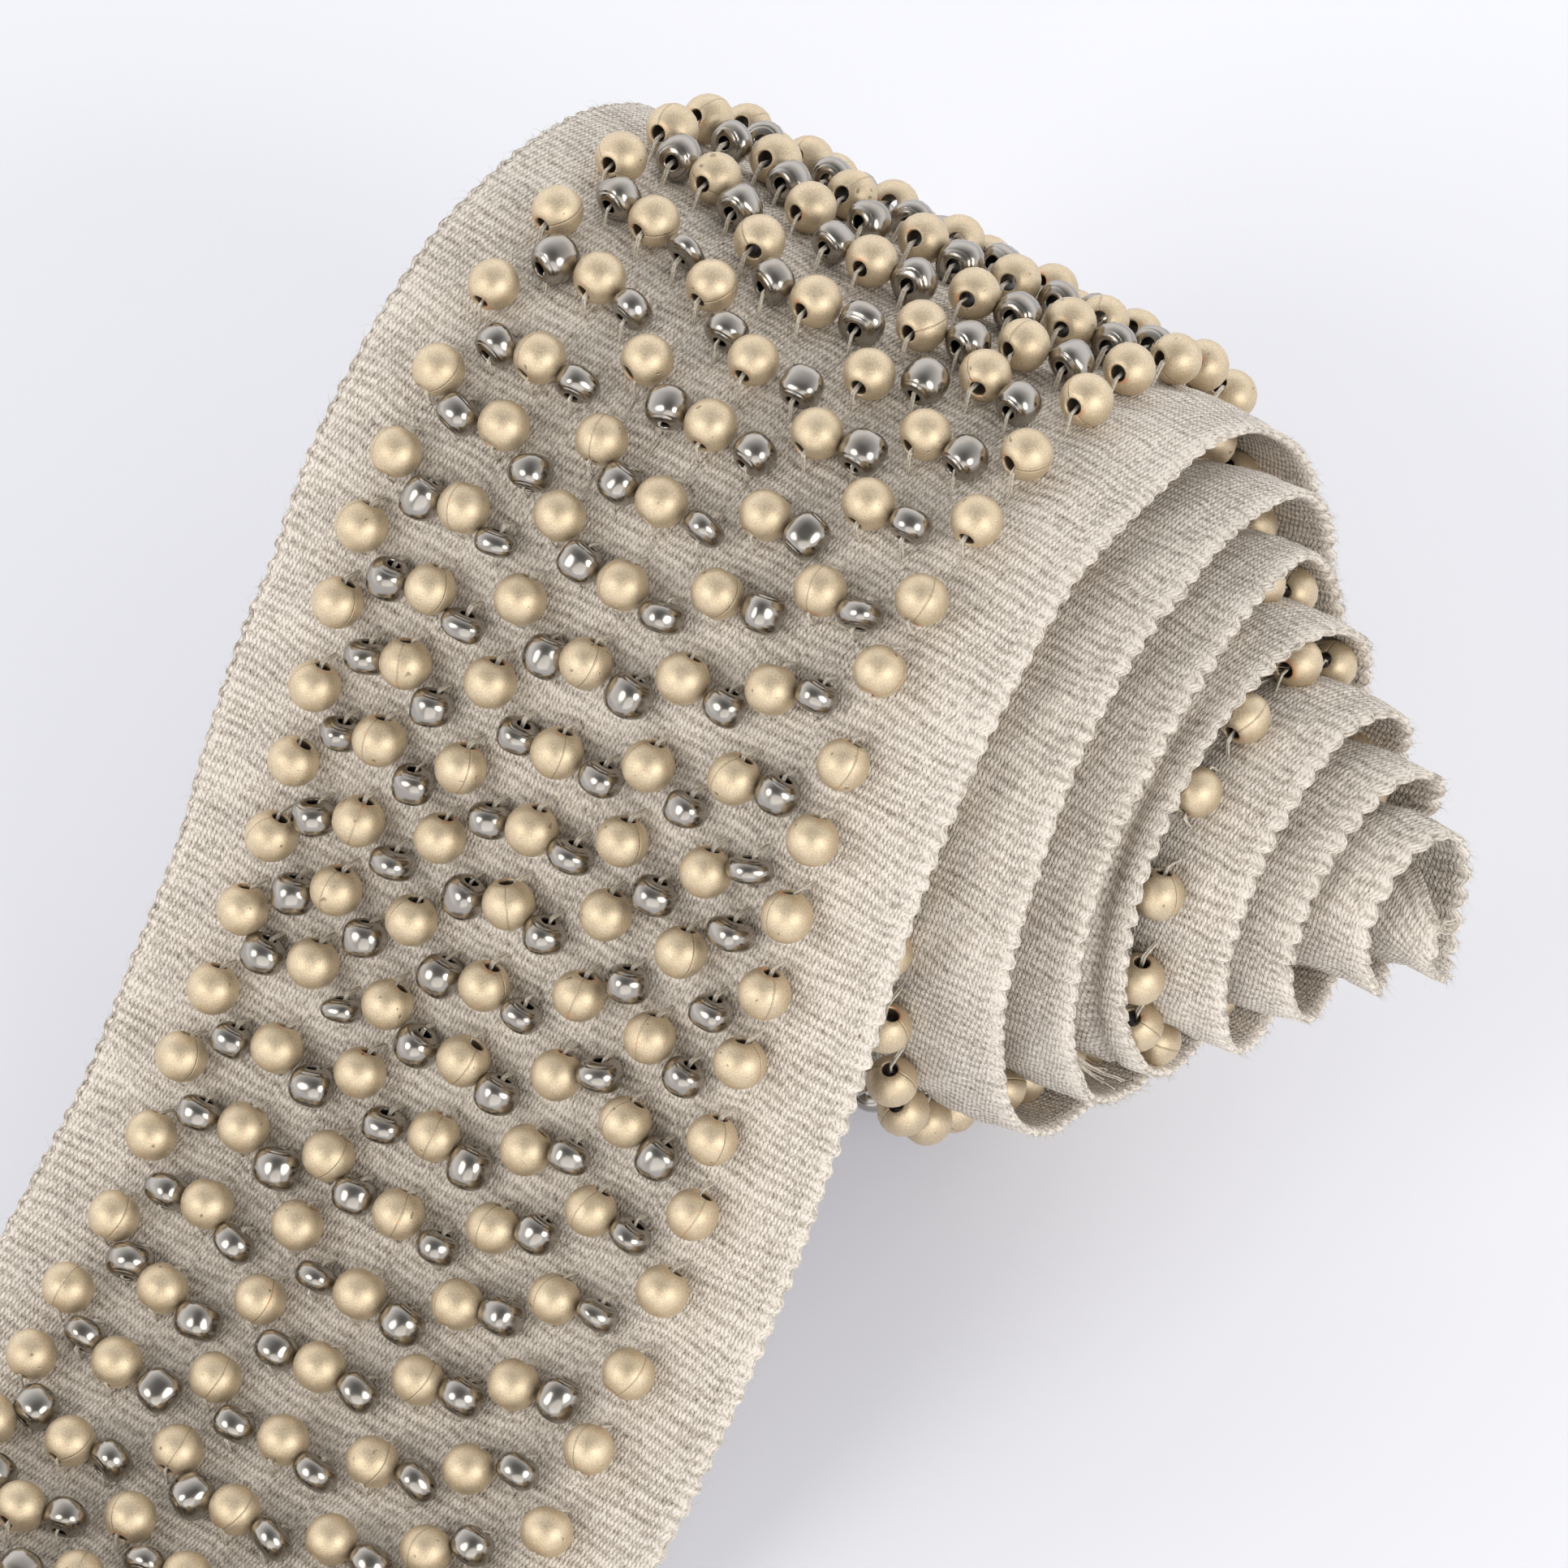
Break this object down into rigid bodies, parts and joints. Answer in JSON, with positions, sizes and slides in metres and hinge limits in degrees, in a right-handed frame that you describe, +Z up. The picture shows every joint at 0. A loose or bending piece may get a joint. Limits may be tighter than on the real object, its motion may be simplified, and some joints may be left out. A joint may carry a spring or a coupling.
{
  "type": "roll of beaded trim",
  "caption": "Ribbed woven band with rows of round gold beads and gunmetal seed beads, wound beads outward into a roll that steps out to one side, its loose end sloping down flat",
  "frame": {"origin": "On the surface that the roll lies on, under the middle of the whole object's box", "axes": "X runs along the roll to its stepped-out end, Y points away from the loose end's cut, Z is up"},
  "size_m": [0.0952, 0.1586, 0.0672],
  "materials": {
    "wound_roll": "matt woven",
    "loose_end": "matt woven"
  },
  "bodies": {
    "root": {"wound_roll": "wound_roll", "loose_end": "loose_end"}
  },
  "joints": []
}
